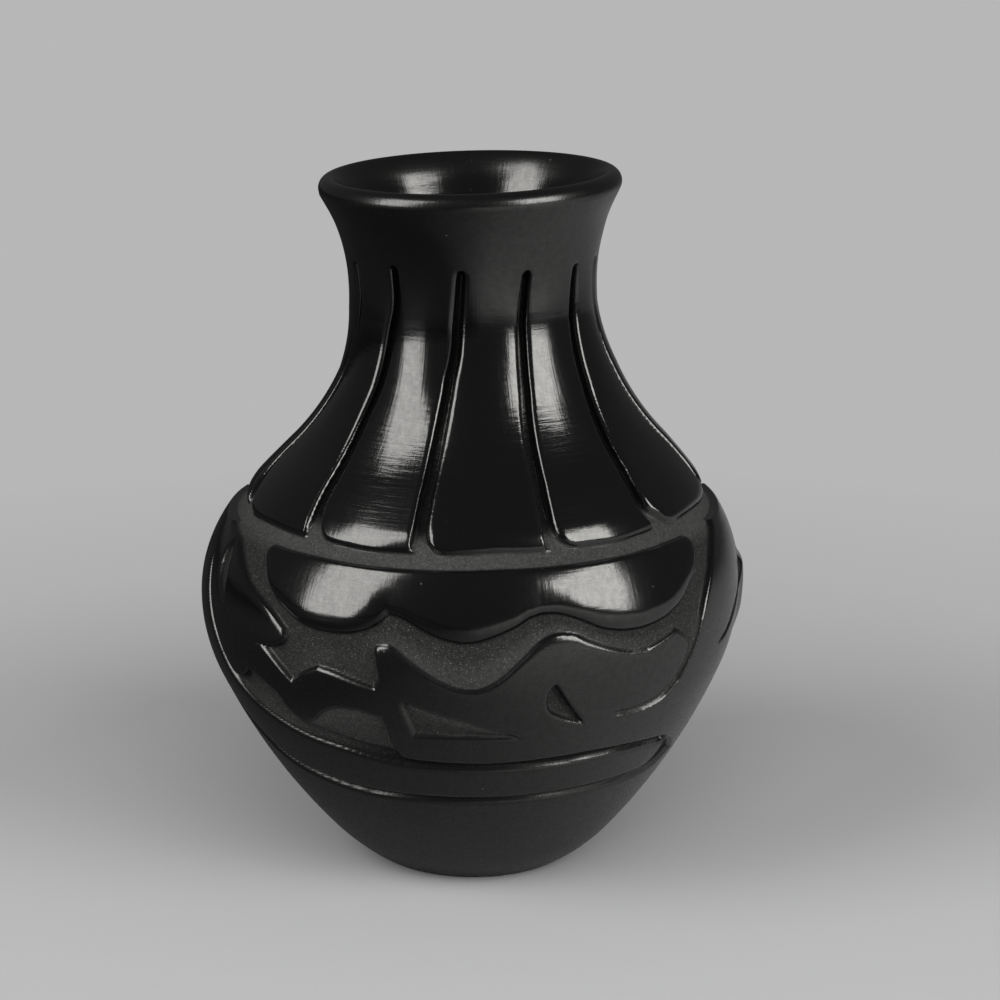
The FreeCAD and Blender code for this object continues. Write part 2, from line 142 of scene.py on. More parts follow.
# Carved ground: each stretch is (rise width, depth share, rub width, points of azimuth and height),
# and starts where the one before it ends, the first where the last ends. The rise width is how far
# the wall below that edge takes to reach the ground, and the rub width how far back from the edge
# the polished side is rubbed round, both in millimetres.
CLOUD_CHANNEL = (
    (0.9, 0.8, 1.6, ((-75.0, 106.0), (-65.5, 103.6), (-59.1, 99.0), (-54.9, 95.4), (-50.3, 92.7),
        (-45.8, 90.0), (-42.5, 87.2))),
    (0.9, 0.8, 1.4, ((-41.0, 85.6), (-40.8, 83.4), (-42.6, 81.3), (-45.6, 80.2), (-48.6, 80.0))),
    (0.7, 0.7, 1.2, ((-46.3, 79.0), (-39.1, 71.3))),
    (0.7, 0.6, 1.2, ((-36.0, 74.6), (-32.1, 77.4))),
    (0.7, 0.7, 1.2, ((-28.6, 76.7), (-24.3, 75.2), (-19.4, 73.6))),
    (0.7, 0.7, 1.0, ((-18.4, 76.6), (-18.7, 80.8), (-19.1, 84.4), (-18.9, 85.8))),
    (0.8, 0.4, 1.8, ((-16.2, 86.1), (-14.0, 84.3), (-11.0, 81.1), (-6.1, 76.8), (-2.2, 74.7),
        (1.8, 74.5), (5.7, 77.1), (9.6, 81.9), (13.6, 87.2), (17.0, 89.2), (20.9, 88.6),
        (24.1, 86.3), (28.5, 83.7), (33.3, 81.5), (38.4, 80.9))),
    (0.6, 0.5, 0.5, ((42.5, 82.3), (46.3, 83.9))),
    (0.9, 0.7, 1.4, ((48.6, 81.6), (50.3, 79.0), (49.9, 75.0), (47.4, 69.6))),
    (0.6, 0.55, 0.4, ((43.7, 66.1), (39.9, 64.5), (36.0, 63.8), (32.4, 63.6))),
    (0.8, 0.4, 0.8, ((31.8, 62.8), (32.6, 62.0))),
    (0.6, 0.5, 0.2, ((37.0, 61.6), (41.4, 62.0), (45.5, 63.7), (49.1, 68.0))),
    (0.6, 0.5, 0.5, ((52.0, 74.4), (53.6, 78.7), (55.1, 84.0))),
    (0.8, 0.8, 1.0, ((57.2, 89.1), (61.0, 95.0), (66.2, 101.0), (71.0, 104.6), (75.0, 109.5))),
    (0.9, 1.0, 1.5, ((54.8, 109.5),)),
    (1.0, 1.0, 3.0, ((55.0, 107.4), (57.4, 106.2), (58.6, 104.2), (57.8, 101.2), (54.3, 96.4))),
    (1.4, 1.1, 6.5, ((49.4, 91.9), (44.6, 89.2), (39.2, 87.9), (33.3, 88.1), (27.9, 89.9),
        (23.0, 93.1), (18.3, 95.4), (14.4, 95.8))),
    (1.4, 1.1, 6.5, ((11.5, 94.7), (8.7, 92.6), (4.1, 90.1), (-0.4, 88.6), (-4.9, 89.4),
        (-9.5, 91.8), (-14.0, 94.8), (-17.5, 96.0))),
    (1.4, 1.1, 6.5, ((-19.4, 93.2), (-22.5, 90.7), (-26.8, 89.1), (-32.7, 88.8), (-37.2, 89.7),
        (-42.3, 92.4), (-45.9, 95.0))),
    (1.0, 1.0, 3.0, ((-48.6, 98.0), (-50.8, 101.5), (-52.6, 104.4), (-52.0, 106.6),
        (-49.5, 109.5))),
    (0.9, 1.0, 1.5, ((-77.0, 109.5),)),
)
UPPER_GROOVE = (
    (0.6, 1.0, 1.5, ((-73.5, 91.0), (-70.5, 84.5), (-67.0, 76.5), (-64.5, 70.8), (-61.0, 66.0),
        (-57.0, 66.5), (-53.6, 70.2))),
    (0.8, 0.85, 1.2, ((-49.6, 68.9), (-44.7, 65.8), (-42.3, 61.5), (-38.5, 58.2), (-30.0, 56.0),
        (-22.0, 54.4), (-17.2, 53.6))),
    (0.7, 1.0, 1.5, ((-16.0, 52.0), (-14.0, 51.2))),
    (0.6, 1.0, 1.0, ((-9.2, 50.8), (2.0, 50.3), (11.1, 50.5), (20.4, 50.9), (30.5, 51.0),
        (42.8, 49.9), (53.6, 47.8), (54.8, 45.8))),
    (0.7, 0.5, 1.4, ((51.5, 45.9), (43.8, 47.5), (31.3, 48.3), (21.0, 47.8), (2.1, 47.9),
        (-9.4, 48.2), (-16.4, 48.8), (-23.5, 50.1), (-30.9, 51.6), (-39.1, 52.9), (-47.7, 55.5),
        (-55.7, 59.0), (-60.5, 62.6), (-64.5, 67.4), (-67.5, 73.7), (-71.0, 82.0), (-74.0, 89.0),
        (-77.5, 98.0))),
)
LOWER_GROOVE = (
    (0.6, 1.0, 1.0, ((-83.0, 84.0), (-80.5, 70.0), (-76.0, 58.0), (-69.0, 50.6), (-60.5, 45.4),
        (-52.6, 41.4), (-41.6, 39.4), (-26.6, 38.0), (-7.8, 37.8), (2.3, 37.8), (12.4, 37.8),
        (34.9, 38.2), (49.8, 37.9), (53.6, 39.2), (55.2, 42.0), (55.6, 45.4))),
    (1.0, 0.6, 1.2, ((57.5, 45.6), (60.5, 43.6), (65.5, 39.2))),
    (0.7, 0.5, 1.4, ((60.0, 36.2), (51.8, 35.4), (35.7, 35.9), (12.7, 35.9), (-8.0, 35.9),
        (-27.2, 35.9), (-42.0, 37.4), (-53.5, 39.7), (-62.0, 44.0), (-70.5, 49.0), (-77.8, 56.8),
        (-82.4, 69.0), (-85.0, 84.0), (-84.5, 98.0))),
)
LONG_RECESS = (
    (0.8, 1.0, 1.5, ((-13.7, 68.1), (-12.6, 63.0), (-11.9, 59.4))),
    (0.9, 0.9, 0.9, ((-6.5, 59.3), (2.0, 58.9), (10.8, 58.7))),
    (0.5, 0.15, 0.6, ((8.6, 60.4), (3.9, 62.6), (-1.2, 65.2), (-6.3, 67.3), (-13.6, 70.6))),
)
SMALL_RECESS = (
    (0.8, 0.8, 0.8, ((15.9, 73.0), (15.7, 69.6), (16.4, 66.7), (19.8, 63.8), (24.5, 61.4))),
    (0.6, 1.0, 0.8, ((23.2, 64.4), (20.6, 68.6), (17.3, 75.3))),
)
TAIL_HOLLOW = (
    (1.0, 0.12, 0.6, ((-35.5, 60.0), (-32.5, 63.6), (-29.0, 65.9), (-25.4, 66.4), (-22.2, 66.1),
        (-18.2, 64.6))),
    (0.6, 1.0, 1.5, ((-17.4, 60.4), (-17.1, 56.4), (-15.6, 52.2))),
    (0.6, 1.0, 1.5, ((-24.0, 52.6), (-33.0, 54.8), (-39.3, 58.0))),
)
LEAF_GROOVE = (
    (0.8, 1.0, 1.5, ((83.5, 89.0), (79.8, 84.4), (74.4, 80.2), (69.1, 75.5), (64.4, 73.2))),
    (0.7, 0.2, 0.7, ((69.0, 73.8), (75.4, 77.8), (82.3, 83.0), (86.0, 88.0), (86.0, 94.0))),
)
SIDE_HOLLOW = (
    (1.2, 1.0, 1.5, ((-69.0, 99.0), (-68.2, 94.0), (-64.6, 88.0), (-62.4, 87.0))),
    (1.0, 0.2, 0.8, ((-63.2, 90.6), (-63.6, 95.0), (-65.0, 100.0), (-67.5, 103.6))),
)
# Each carved shape: its outline, its share of the carving's depth, how matte its ground is and how
# far in from its edge, in millimetres, the slip ends and the matte ground starts.
CARVED = (
    (CLOUD_CHANNEL, 1.0, 1.0, 0.1),
    (UPPER_GROOVE, 0.95, 0.9, 0.5),
    (LOWER_GROOVE, 0.95, 0.8, 0.5),
    (LONG_RECESS, 0.65, 0.8, 0.25),
    (SMALL_RECESS, 1.0, 0.9, 0.2),
    (TAIL_HOLLOW, 0.55, 0.8, 0.25),
    (LEAF_GROOVE, 0.9, 0.5, 0.25),
    (SIDE_HOLLOW, 0.5, 0.4, 0.25),
)
# The leaf at the right outline stands proud of the wall, between these azimuths and heights.
LEAF_LIFT = 1.4
LEAF_AZIMUTHS = (82.0, 88.0, 100.0, 118.0)
LEAF_HEIGHTS = (62.0, 76.0, 88.0, 91.0)
# The feathers are flattened low down and bulge towards the neck, as shares of their flatness.
FLATNESS_HEIGHTS = (116.0, 126.0, 150.0)
FLATNESS_SHARES = (0.3, 0.8, -1.7)
MOTIF_TURNS = (0.0, 180.0)
# How round the feathers' lower corners are, and how their lower ends roll over to the ledge.
CORNER_LEFT = 9.0
CORNER_RIGHT = 1.6
END_ROLL = 1.4
END_ROLL_WIDTH = 6.0
CURVE_STEP = 0.8
CURVE_RADIUS = 70.0
OUTLINE_REACH = 14.0
# A distance that wasn't measured, a weight of nothing and the least cut below a rubbed edge.
FAR = 99.0
TINY = 1e-9
LEAST_CUT = 0.1
# A stretch weighs less with distance, from this far on, in millimetres.
WEIGHT_REACH = 0.3
# Where the matte ground starts in the slots and on the ledge, and over how far it sets in.
MATTE_FROM = 0.45
MATTE_OVER = 0.5
# What a rubbed edge lacks of a full quarter round, so that its slope stays finite.
ROUND_LEFT = 0.02
# Heights at which the feathers' flatness sets in and fades out, and over how far. The whole
# feather moves out by a share of what a flat one loses in its middle.
FEATHERS_FROM = 108.5
FEATHERS_IN = 4.0
FEATHERS_TO = 181.0
FEATHERS_OUT = 14.0
FEATHER_STAND = 0.55

# Sideways lean of the axis and tilt of the level lines that the hand left, by height.
LEAN_HEIGHTS = (0.0, 30.0, 60.0, 80.0, 105.0, 125.0, 147.0, 165.0, 185.0, 203.0)
LEANS = (0.6, 0.0, -0.4, -0.2, 0.6, 2.0, 2.0, 0.6, 0.3, -0.4)
TILT_HEIGHTS = (0.0, 90.0, 106.0, 150.0, 203.0)
TILTS = (0.0, 0.004, 0.0098, 0.018, 0.028)
# Slow swells of the wall: (height of swell, turns round the jar, rise per height, offset).
SWELLS = (
    (0.14, 2, 0.021, 0.4), (0.10, 3, -0.034, 2.1), (0.07, 5, 0.055, 4.0), (0.05, 8, -0.08, 1.2))
SWELL_START = 12.0

# The slip turns satin below a height, and the inside partly matte from some way below the top.
SATIN_TOP = 90.0
SATIN_FADE = 5.0
INSIDE_MATTE = 0.6
INSIDE_BELOW_TOP = 30.0
INSIDE_FADE = 25.0

# Points closer than this are merged, so many are matched at a time, and an edge up to the angle is
# shaded smooth.
MERGE = 0.01 * MM
BLOCK = 20000
SMOOTH_ANGLE = 50.0


class JarShape(bpy.types.PropertyGroup):
    carve_depth: bpy.props.FloatProperty(
        name="Carving depth", description="Depth of the carved ground below the wall",
        default=2.3 * MM, min=0.0, max=4.0 * MM, unit="LENGTH", precision=4)
    slot_depth: bpy.props.FloatProperty(
        name="Slot depth", description="Depth of the slots between the feathers",
        default=3.2 * MM, min=0.0, max=5.0 * MM, unit="LENGTH", precision=4)
    edge_drop: bpy.props.FloatProperty(
        name="Edge drop", description="How far a rubbed edge has sunk at the cut",
        default=0.55 * MM, min=0.0, max=1.5 * MM, unit="LENGTH", precision=4)
    edge_width: bpy.props.FloatProperty(
        name="Edge width", description="How far back from the cut an edge is rubbed round",
        default=1.5 * MM, min=0.2 * MM, max=4.0 * MM, unit="LENGTH", precision=4)
    feather_flatness: bpy.props.FloatProperty(
        name="Feather flatness", description="0 leaves the feathers round, 1 makes each one flat",
        default=0.25, min=0.0, max=1.0)
    hand_wander: bpy.props.FloatProperty(
        name="Hand wander", description="How much of the jar's lean and tilt is kept",
        default=1.0, min=0.0, max=1.0)


class JarFinish(bpy.types.PropertyGroup):
    slip_colour: bpy.props.FloatVectorProperty(
        name="Slip", description="Colour of the burnished slip", subtype="COLOR", size=3,
        default=(0.0015, 0.0015, 0.0016), min=0.0, max=1.0)
    satin_colour: bpy.props.FloatVectorProperty(
        name="Satin slip", description="Colour of the less rubbed slip below the belly",
        subtype="COLOR", size=3, default=(0.0021, 0.0021, 0.0022), min=0.0, max=1.0)
    ground_colour: bpy.props.FloatVectorProperty(
        name="Carved ground", description="Colour of the matte carved clay", subtype="COLOR",
        size=3, default=(0.0305, 0.0303, 0.0297), min=0.0, max=1.0)
    burnish: bpy.props.FloatProperty(
        name="Burnish", description="Roughness of the best rubbed slip", default=0.12,
        min=0.0, max=1.0, subtype="FACTOR")


class JarStudio(bpy.types.PropertyGroup):
    floor_colour: bpy.props.FloatVectorProperty(
        name="Floor", description="Colour of the plain floor", subtype="COLOR", size=3,
        default=(0.397, 0.397, 0.3995), min=0.0, max=1.0)
    backdrop_colour: bpy.props.FloatVectorProperty(
        name="Backdrop", description="Colour that the far floor and the air behind it show",
        subtype="COLOR", size=3, default=(0.475, 0.475, 0.478), min=0.0, max=1.0)
    fill_colour: bpy.props.FloatVectorProperty(
        name="Fill", description="Light that comes from all sides", subtype="COLOR", size=3,
        default=(0.2, 0.2, 0.2015), min=0.0, max=1.0)
    lamp_power: bpy.props.FloatProperty(
        name="Lamp power", description="Power of a square metre of soft lamp", default=17.5,
        min=0.0, unit="POWER")


def shelf(share):
    """A smooth climb from 0 to 1 for shares between 0 and 1."""
    share = np.clip(share, 0.0, 1.0)
    return share * share * (3 - 2 * share)


def arc_from(start, end, direction):
    """Centre of the arc that leaves start along direction for end, and its last direction."""
    chord = end - start
    side = np.array((-direction[1], direction[0]))
    centre = start + side * (chord @ chord) / (2 * (side @ chord))
    along = chord / np.hypot(*chord)
    return centre, along * 2 * (direction @ along) - direction


def outline_arcs():
    """The outline's arcs from foot to lip, as (lower point, upper point, centre)."""
    points = [np.array(station) for station in STATIONS]
    arcs = []
    direction = np.array((0.0, -1.0))
    for index in range(BELLY_STATION, 0, -1):
        upper, lower = points[index], points[index - 1]
        centre, direction = arc_from(upper, lower, direction)
        arcs.insert(0, (lower, upper, centre))
    direction = np.array((0.0, 1.0))
    for index in range(BELLY_STATION, NECK_STATION - 1):
        lower, upper = points[index], points[index + 1]
        centre, direction = arc_from(lower, upper, direction)
        arcs.append((lower, upper, centre))
    neck, throat, lip = points[NECK_STATION], points[NECK_STATION - 1], points[NECK_STATION + 1]
    arcs.append((throat, neck, arc_from(neck, throat, np.array((0.0, -1.0)))[0]))
    arcs.append((neck, lip, arc_from(neck, lip, np.array((0.0, 1.0)))[0]))
    return arcs


class Outline:
    """The outer outline as a curve that can be asked for radius, height and normal by run."""

    def __init__(self):
        runs, radii, heights, normals = [0.0], [STATIONS[0][0]], [STATIONS[0][1]], []
        for lower, upper, centre in outline_arcs():
            spoke, last = lower - centre, upper - centre
            turn = math.atan2(spoke[0] * last[1] - spoke[1] * last[0], spoke @ last)
            size = np.hypot(*spoke)
            steps = max(8, int(abs(turn) * size / ARC_STEP))
            outward = 1.0 if turn > 0 else -1.0
            for step in range(1, steps + 1):
                angle = math.atan2(spoke[1], spoke[0]) + turn * step / steps
                radii.append(centre[0] + size * math.cos(angle))
                heights.append(centre[1] + size * math.sin(angle))
                runs.append(runs[-1] + abs(turn) * size / steps)
                if not normals:
                    normals.append(spoke / size * outward)
                normals.append(np.array((math.cos(angle), math.sin(angle))) * outward)
        self.runs = np.array(runs)
        self.radii = np.array(radii)
        self.heights = np.array(heights)
        self.normals = np.array(normals)
        self.meet_lip()

    def meet_lip(self):
        """Swells the last stretch a little and ends it where the lip's round takes over."""
        self.lip_turn = math.atan2(self.normals[-1][1], self.normals[-1][0])
        centre = np.array((STATIONS[-1][0] - LIP_RADIUS, STATIONS[-1][1]))
        end = centre + LIP_RADIUS * np.array((math.cos(self.lip_turn), math.sin(self.lip_turn)))
        short = end[0] - np.interp(end[1], self.heights, self.radii)
        self.radii += short * shelf((self.heights - end[1] + LIP_SWELL) / LIP_SWELL)
        keep = self.heights < end[1]
        self.runs, self.radii, self.heights = self.runs[keep], self.radii[keep], self.heights[keep]
        self.normals = self.normals[keep]

    def run_at(self, height):
        """Distance along the outline from the foot up to a height."""
        return np.interp(height, self.heights, self.runs)

    def at(self, run):
        """Radius, height and the normal's two parts at each run."""
        known = (self.radii, self.heights, self.normals[:, 0], self.normals[:, 1])
        return [np.interp(run, self.runs, values) for values in known]


OUTLINE = Outline()


def smooth_path(points, step=CURVE_STEP):
    """A smooth line through points of azimuth and height, as points of azimuth and run."""
    points = np.array([(azimuth, OUTLINE.run_at(height)) for azimuth, height in points], float)
    padded = np.vstack((2 * points[0] - points[1], points, 2 * points[-1] - points[-2]))
    line = []
    for index in range(1, len(padded) - 2):
        before, start, end, after = padded[index - 1:index + 3]
        spread = math.hypot((end[0] - start[0]) * math.radians(CURVE_RADIUS), end[1] - start[1])
        count = max(1, int(math.ceil(spread / step)))
        for part in range(count):
            t = part / count
            line.append(0.5 * (2 * start + (end - before) * t
                               + (2 * before - 5 * start + 4 * end - after) * t ** 2
                               + (3 * start - before - 3 * end + after) * t ** 3))
    line.append(points[-1])
    return np.array(line)


class Relief:
    """The carved wall on a grid: rows along the outline, columns round the jar."""

    def __init__(self, shape):
        self.shape = shape
        seams = [OUTLINE.run_at(low * HEIGHT) for low, _, _ in COURSES.values()]
        seams.append(OUTLINE.runs[-1])
        runs = []
        self.bands = {}
        for (name, (_, _, step)), low, high in zip(COURSES.items(), seams[:-1], seams[1:]):
            start = len(runs) - 1 if runs else 0
            runs = runs[:-1] + list(np.linspace(low, high, int(math.ceil((high - low) / step)) + 1))
            self.bands[name] = (start, len(runs))
        self.runs = np.array(runs)
        self.radii, self.heights, self.across, self.up = OUTLINE.at(self.runs)
        self.azimuths = np.arange(COLUMNS) * 360.0 / COLUMNS - 180.0
        self.cut, self.ground = self.blank(), self.blank()
        self.paths = list(SLOT_PATHS)
        for top, foot in BACK_SLOTS:
            self.paths.append(tuple(zip(foot + (top - foot) * np.array(BACK_BENDS), BACK_HEIGHTS)))
        self.across_feather, self.feather_half = self.feather_frame()
        self.carve()
        self.wall = self.place()
        self.slopes = self.facing()

    def blank(self, value=0.0):
        """The same number for every grid point."""
        return np.full((len(self.runs), COLUMNS), value)

    def wrapped(self, centre):
        """Azimuth of every column from a centre, between -180 and 180."""
        return (self.azimuths - centre + 180.0) % 360.0 - 180.0

    def rounding(self, away, drop, width):
        """How far an edge that is rubbed round has sunk, by distance from the cut."""
        share = np.clip(1 - away / width, 0.0, 1.0)
        rounded = 1 - np.sqrt(1 - share * share * (1 - ROUND_LEFT))
        return drop * rounded / (1 - math.sqrt(ROUND_LEFT))

    def rub(self, width):
        """How far an edge sinks that is rubbed round over a width."""
        return self.shape.edge_drop / MM * np.sqrt(width / (self.shape.edge_width / MM))

    def carve(self):
        """Sinks the ledge, the slots and every carved shape."""
        depth = self.shape.carve_depth / MM
        self.ring_and_slots(depth, self.shape.slot_depth / MM)
        for outline, depth_share, matte, bare in CARVED:
            self.region(outline, depth * depth_share, matte, bare)

    def ring_and_slots(self, depth, slot_depth):
        """Sinks the ledge round the shoulder and the slots between the feathers above it."""
        low, high = OUTLINE.run_at(LEDGE_LOW), OUTLINE.run_at(LEDGE_HIGH)
        runs = self.runs[:, None]
        width = self.shape.edge_width / MM
        wave = sum(size * np.sin(np.radians(self.azimuths * turns + offset))
                   for size, turns, offset in LEDGE_WAVES)
        ring_low = (low + wave * LOW_WAVE_SHARE)[None, :] - runs
        ring_high = runs - (high + wave)[None, :]
        slot = np.minimum.reduce([
            self.trace(smooth_path(path, SLOT_STEP), SLOT_REACH, self.slot_half)
            for path in self.paths])
        # The ledge and the slots meet in a round corner, so the feathers' lower corners are round.
        corner = CORNER_RIGHT + (CORNER_LEFT - CORNER_RIGHT) * shelf(0.5 - self.across_feather)
        between = np.clip(0.5 + 0.5 * (slot - ring_high) / corner, 0.0, 1.0)
        upper = slot * (1 - between) + ring_high * between - corner * between * (1 - between)
        upper = np.where(runs < high - SLOT_BELOW, ring_high, upper)
        away = np.maximum(ring_low, upper)
        in_slot = shelf((runs - high - DEEPENS_FROM) / DEEPENS_OVER)
        in_slot = in_slot * shelf(DEEP_SHARE - slot / DEEP_WIDTH)
        ground = depth + (slot_depth - depth) * in_slot
        roll = self.rounding(np.maximum(ring_high, 0.0), END_ROLL, END_ROLL_WIDTH) * (runs > low)
        edge = np.maximum(self.rub(width), roll)
        rounded = np.maximum(self.rounding(away, self.rub(width), width), roll * (away > 0))
        sunk = np.where(away > 0, rounded, edge + (ground - edge) * shelf(-away / LEDGE_RISE))
        self.cut = np.maximum(self.cut, sunk)
        matte = shelf((-away - MATTE_FROM) / MATTE_OVER) * (1 - SLOT_SHEEN * in_slot)
        self.ground = np.maximum(self.ground, matte)

    def slot_half(self, run):
        """Half of a slot's width at each run."""
        low, high = OUTLINE.run_at(SLOT_FOOT), OUTLINE.run_at(SLOT_HEAD)
        share = np.clip((run - low) / (high - low), 0.0, 1.0)
        return SLOT_HALF_FOOT + (SLOT_HALF_TOP - SLOT_HALF_FOOT) * share

    def trace(self, line, reach, half=None):
        """Distance of every grid point from a line, or from the sides of one with a width."""
        field = self.blank(FAR)
        for start, end in zip(line[:-1], line[1:]):
            self.nearest(field, start, end, reach, half)
        return field

    def nearest(self, field, start, end, reach, half):
        """Lowers the field to the distance from one straight piece of a line, where near."""
        low, high = min(start[1], end[1]) - reach, max(start[1], end[1]) + reach
        rows = slice(*np.searchsorted(self.runs, (low, high)))
        if rows.stop <= rows.start:
            return
        radii = self.radii[rows]
        offset = self.wrapped(start[0])
        turn = math.degrees(reach / radii.min())
        first, last = min(0.0, end[0] - start[0]) - turn, max(0.0, end[0] - start[0]) + turn
        columns = np.nonzero((offset >= first) & (offset <= last))[0]
        across = np.radians(offset[columns])[None, :] * radii[:, None]
        up = (self.runs[rows] - start[1])[:, None]
        end_across = math.radians(end[0] - start[0]) * radii[:, None]
        end_up = end[1] - start[1]
        length = end_across ** 2 + end_up ** 2
        share = np.clip((across * end_across + up * end_up) / length, 0.0, 1.0)
        away = np.hypot(across - share * end_across, up - share * end_up)
        if half is not None:
            away = away - half(self.runs[rows])[:, None]
        block = field[rows, :][:, columns]
        field[np.ix_(range(rows.start, rows.stop), columns)] = np.minimum(block, away)

    def region(self, outline, depth, matte, bare):
        """Sinks one carved shape and the same shape on the jar's other side."""
        paths = []
        begin = outline[-1][-1][-1]
        for *_, points in outline:
            paths.append(smooth_path((begin, *points)))
            begin = points[-1]
        inside = self.inside(np.vstack([path[:-1] for path in paths]))
        reached, near = self.blank(FAR), self.blank(FAR)
        shares = self.blank()
        widths, weights = self.blank(TINY), self.blank(TINY)
        for (rise, share, rub, _), path in zip(outline, paths):
            field = self.trace(path, OUTLINE_REACH)
            near = np.minimum(near, field)
            reached = np.minimum(reached, field / rise)
            weight = np.where(field < FAR, 1 / (field + WEIGHT_REACH) ** 2, 0.0)
            shares += weight * share
            widths += weight * rub
            weights += weight
        width = widths / weights
        drop = self.rub(width)
        ground = drop + np.maximum(depth * shares / weights - drop, LEAST_CUT)
        rounded = self.rounding(near, drop, width)
        sunk = np.where(inside, drop + (ground - drop) * shelf(reached), rounded)
        # A sharp edge leaves its wall matte too, where a rubbed one stays polished halfway down.
        polished = 0.5 * np.clip(width * 2 - 1, 0.0, 1.0)
        soft = inside * matte * shelf((reached - polished) / MATTE_OVER)
        soft = soft * shelf((near - bare) / MATTE_OVER)
        for turn in MOTIF_TURNS:
            shift = int(round(turn / 360.0 * COLUMNS))
            self.cut = np.maximum(self.cut, np.roll(sunk, shift, axis=1))
            self.ground = np.maximum(self.ground, np.roll(soft, shift, axis=1))

    def inside(self, ring):
        """Which grid points lie inside a closed line of (azimuth, run) points."""
        found = np.zeros(self.cut.shape, bool)
        starts, ends = ring, np.roll(ring, -1, axis=0)
        for row, run in enumerate(self.runs):
            crossed = (starts[:, 1] > run) != (ends[:, 1] > run)
            if crossed.any():
                first, last = starts[crossed], ends[crossed]
                places = np.sort(first[:, 0] + (last[:, 0] - first[:, 0])
                                 * (run - first[:, 1]) / (last[:, 1] - first[:, 1]))
                found[row] = np.searchsorted(places, self.azimuths) % 2 == 1
        return found

    def feather_frame(self):
        """Place across its feather, -1 to 1, and half the feather's angle, for every grid point."""
        centres = []
        for path in self.paths:
            azimuths, heights = np.array(path).T
            centres.append(np.interp(self.heights, heights[::-1], azimuths[::-1]))
        order = np.vstack((centres, centres[0] + 360.0))
        azimuths = (self.azimuths[None, :] - order[0][:, None]) % 360.0 + order[0][:, None]
        place = self.blank()
        halves = self.blank()
        for left, right in zip(order[:-1], order[1:]):
            half = ((right - left) / 2)[:, None]
            share = (azimuths - ((left + right) / 2)[:, None]) / half
            here = np.abs(share) <= 1
            place = np.where(here, share, place)
            halves = np.where(here, np.radians(half), halves)
        return place, halves

    def feather_lift(self):
        """Radial change that flattens the wall between two slots, or rounds it near the neck."""
        radii = self.radii[:, None]
        turned = self.across_feather * self.feather_half
        flat = radii * (np.cos(self.feather_half) / np.cos(turned) - 1)
        lift = flat + FEATHER_STAND * radii * (1 - np.cos(self.feather_half))
        fade = shelf((self.heights - FEATHERS_FROM) / FEATHERS_IN)
        fade = fade * shelf((FEATHERS_TO - self.heights) / FEATHERS_OUT)
        fade = fade * np.interp(self.heights, FLATNESS_HEIGHTS, FLATNESS_SHARES)
        return lift * fade[:, None] * self.shape.feather_flatness

    def leaf_lift(self):
        """Radial change that raises the leaf at the right outline, as only that side shows one."""
        up = np.interp(self.heights, LEAF_HEIGHTS, (0.0, 1.0, 1.0, 0.0))
        around = np.interp(self.azimuths, LEAF_AZIMUTHS, (0.0, 1.0, 1.0, 0.0))
        return LEAF_LIFT * shelf(up)[:, None] * shelf(around)[None, :]

    def swell(self):
        """Radial change that the slow swells of a hand-built wall make."""
        turn = np.radians(self.azimuths)[None, :]
        run = self.runs[:, None]
        total = self.blank()
        for size, turns, rise, offset in SWELLS:
            total += size * np.sin(turns * turn + rise * run + offset)
        return total * shelf(run / SWELL_START)

    def place(self):
        """Position of every grid point, in metres."""
        out = self.feather_lift() + self.leaf_lift() + self.swell() * self.shape.hand_wander
        radius = self.radii[:, None] + out - self.cut * self.across[:, None]
        height = self.heights[:, None] - self.cut * self.up[:, None]
        return self.leaning(radius, height, np.radians(self.azimuths)[None, :])

    def leaning(self, radius, height, azimuth):
        """Points at a radius, height and azimuth, with the jar's lean and tilt, in metres."""
        wander = self.shape.hand_wander
        across = radius * np.sin(azimuth)
        lean = np.interp(height, LEAN_HEIGHTS, LEANS) * wander
        tilt = np.interp(height, TILT_HEIGHTS, TILTS) * wander
        forward = -radius * np.cos(azimuth) + 0 * height
        return np.stack((across + lean, forward, height + across * tilt), -1) * MM

    def facing(self):
        """Outward normal of every grid point."""
        around = np.roll(self.wall, -1, axis=1) - np.roll(self.wall, 1, axis=1)
        upward = np.gradient(self.wall, axis=0)
        normal = np.cross(around, upward)
        return normal / np.linalg.norm(normal, axis=-1, keepdims=True)


def inner_line():
    """The jar's inside from the floor up to the lip, as radii and heights."""
    throat = STATIONS[NECK_STATION - 1][1]
    ends = (throat - THROAT_BLEND, throat + THROAT_BLEND)
    wall = np.interp(OUTLINE.heights, ends, (BODY_WALL, NECK_WALL))
    radii = OUTLINE.radii - OUTLINE.normals[:, 0] * wall
    heights = OUTLINE.heights - OUTLINE.normals[:, 1] * wall
    keep = (heights > FLOOR_HEIGHT) & (heights < HEIGHT - LIP_CLEARANCE * LIP_RADIUS)
    keep &= (radii > FLOOR_RADIUS) | (heights > BELLY_TOP)
    radii = np.concatenate(((FLOOR_RADIUS,), radii[keep], (STATIONS[-1][0] - 2 * LIP_RADIUS,)))
    heights = np.concatenate(((FLOOR_HEIGHT,), heights[keep], (STATIONS[-1][1],)))
    return radii, heights


